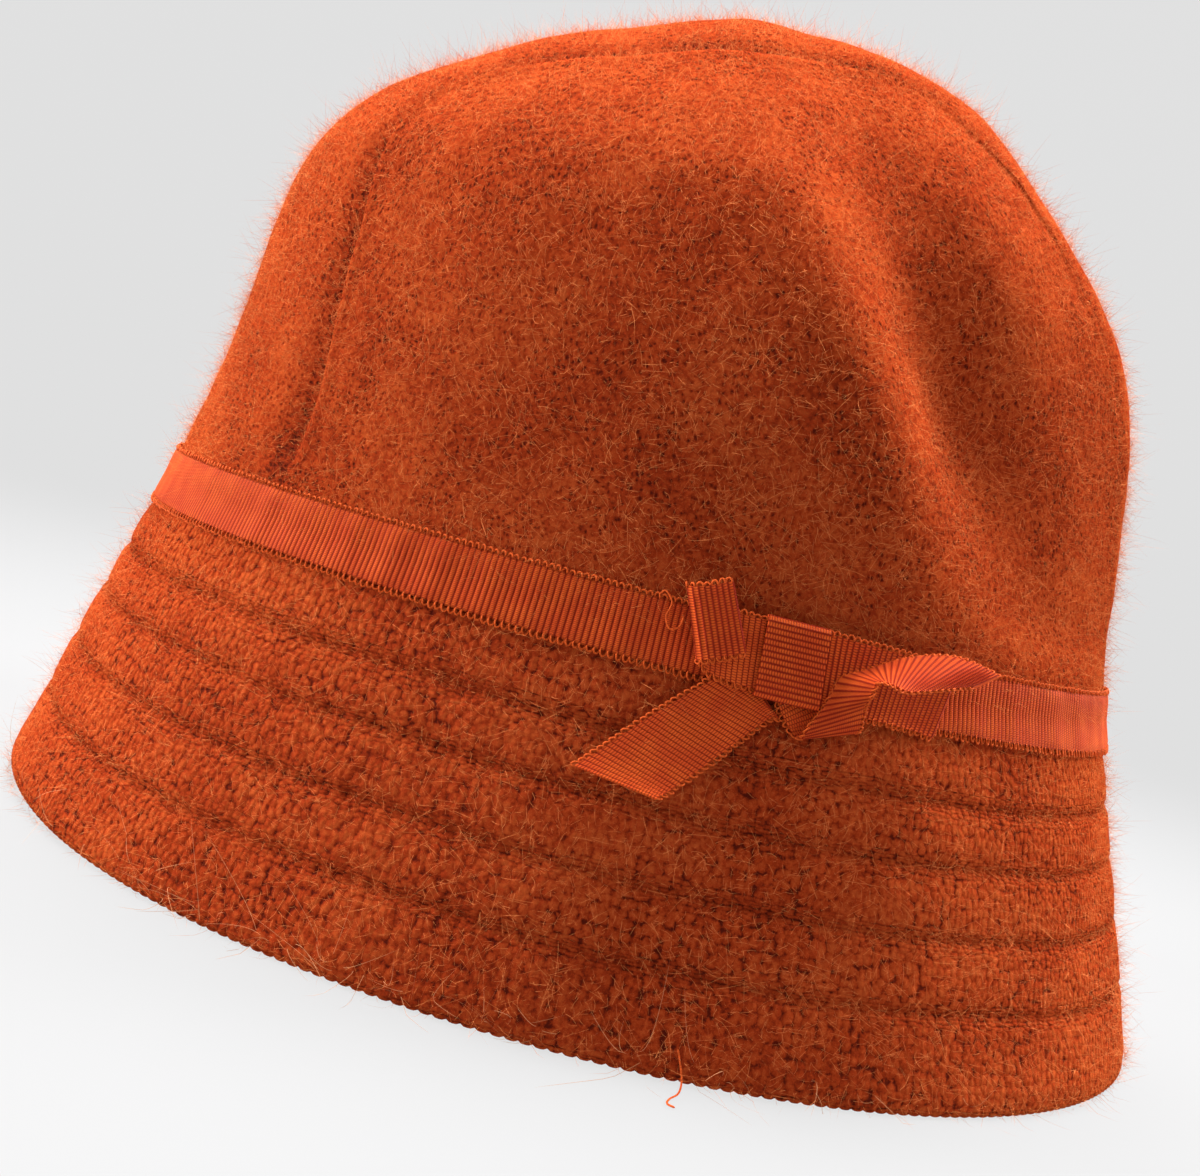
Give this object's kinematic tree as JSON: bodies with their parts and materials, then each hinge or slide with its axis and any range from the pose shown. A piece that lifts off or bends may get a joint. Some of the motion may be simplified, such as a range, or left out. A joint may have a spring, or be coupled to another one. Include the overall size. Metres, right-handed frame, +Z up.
{
  "type": "cloche hat",
  "caption": "Bell-shaped cloche hat of felted wool knit, sewn from panels, with a quilted brim and a flat ribbon bow at the side; it stands on its rim.",
  "frame": {"origin": "on the surface that the hat stands on, in the middle of the outline of its rim", "axes": "-Y is the wearer's front, +X the wearer's left with the bow, +Z up along the crown"},
  "size_m": [0.1994, 0.246, 0.1874],
  "materials": {
    "felt": "mottled rust-orange felted wool knit with loose fibres",
    "ribbon": "ribbed rust-orange ribbon with looped edges and a slight sheen"
  },
  "bodies": {
    "root": {"crown_side_left": "felt", "crown_side_right": "felt", "crown_centre": "felt", "brim": "felt", "ribbon_band": "ribbon", "bow_knot": "ribbon", "bow_left_loop": "ribbon", "bow_right_end": "ribbon", "bow_left_tail": "ribbon", "bow_right_tail": "ribbon"}
  },
  "joints": []
}
